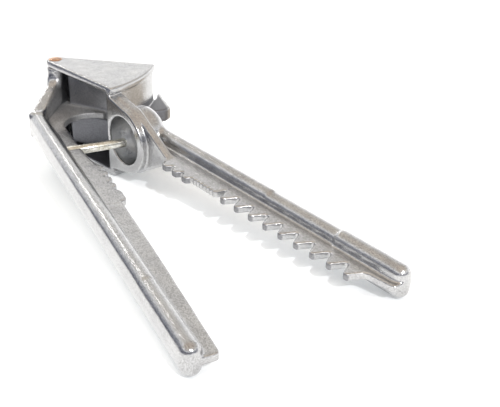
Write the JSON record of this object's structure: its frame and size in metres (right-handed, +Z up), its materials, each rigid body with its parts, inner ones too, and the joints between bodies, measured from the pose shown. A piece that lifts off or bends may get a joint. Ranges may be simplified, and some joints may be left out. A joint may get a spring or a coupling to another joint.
{
  "type": "garlic press",
  "caption": "Cast aluminium garlic press: two riveted handles with a pressing chamber, a fruit-stone cup and punch, a cap-opener claw and toothed nutcracker jaws.",
  "frame": {"origin": "hinge axis where it meets the lower cheek's outer face, which is the flat the press is laid on", "axes": "+Z up along the hinge axis, from the lower cheek to the upper one; +X along the chamber handle from the hinge to its end; +Y from the jaw edge towards the back of the chamber handle"},
  "size_m": [0.1592, 0.0835, 0.0325],
  "materials": {
    "cast_aluminium": "die-cast and tumbled bright, satin with fine grain",
    "rivet_copper": "copper-plated, lightly domed head",
    "pin_steel": "drawn wire, bright, faintly yellow"
  },
  "bodies": {
    "chamber_handle": {"upper_cheek": "cast_aluminium", "lower_cheek": "cast_aluminium", "curved_wall": "cast_aluminium", "sieve_wall": "cast_aluminium", "cup_face": "cast_aluminium", "gusset_plate": "cast_aluminium", "stone_cup": "cast_aluminium", "opener_claw": "cast_aluminium", "chamber_bar": "cast_aluminium", "chamber_jaw_teeth": "cast_aluminium", "chamber_small_jaw": "cast_aluminium", "hinge_rivet": "rivet_copper"},
    "plunger_handle": {"hinge_knuckle": "cast_aluminium", "knuckle_arm": "cast_aluminium", "plunger_plate": "cast_aluminium", "plunger_web": "cast_aluminium", "plunger_bar": "cast_aluminium", "plunger_small_jaw": "cast_aluminium", "plunger_grip_web": "cast_aluminium", "punch_pin": "pin_steel"}
  },
  "joints": [
    {"name": "handle_hinge", "type": "hinge", "parent": "chamber_handle", "child": "plunger_handle", "pos_m": [0, 0, 0.016], "axis": [0, 0, -1], "range_deg": [-15, 160]}
  ]
}
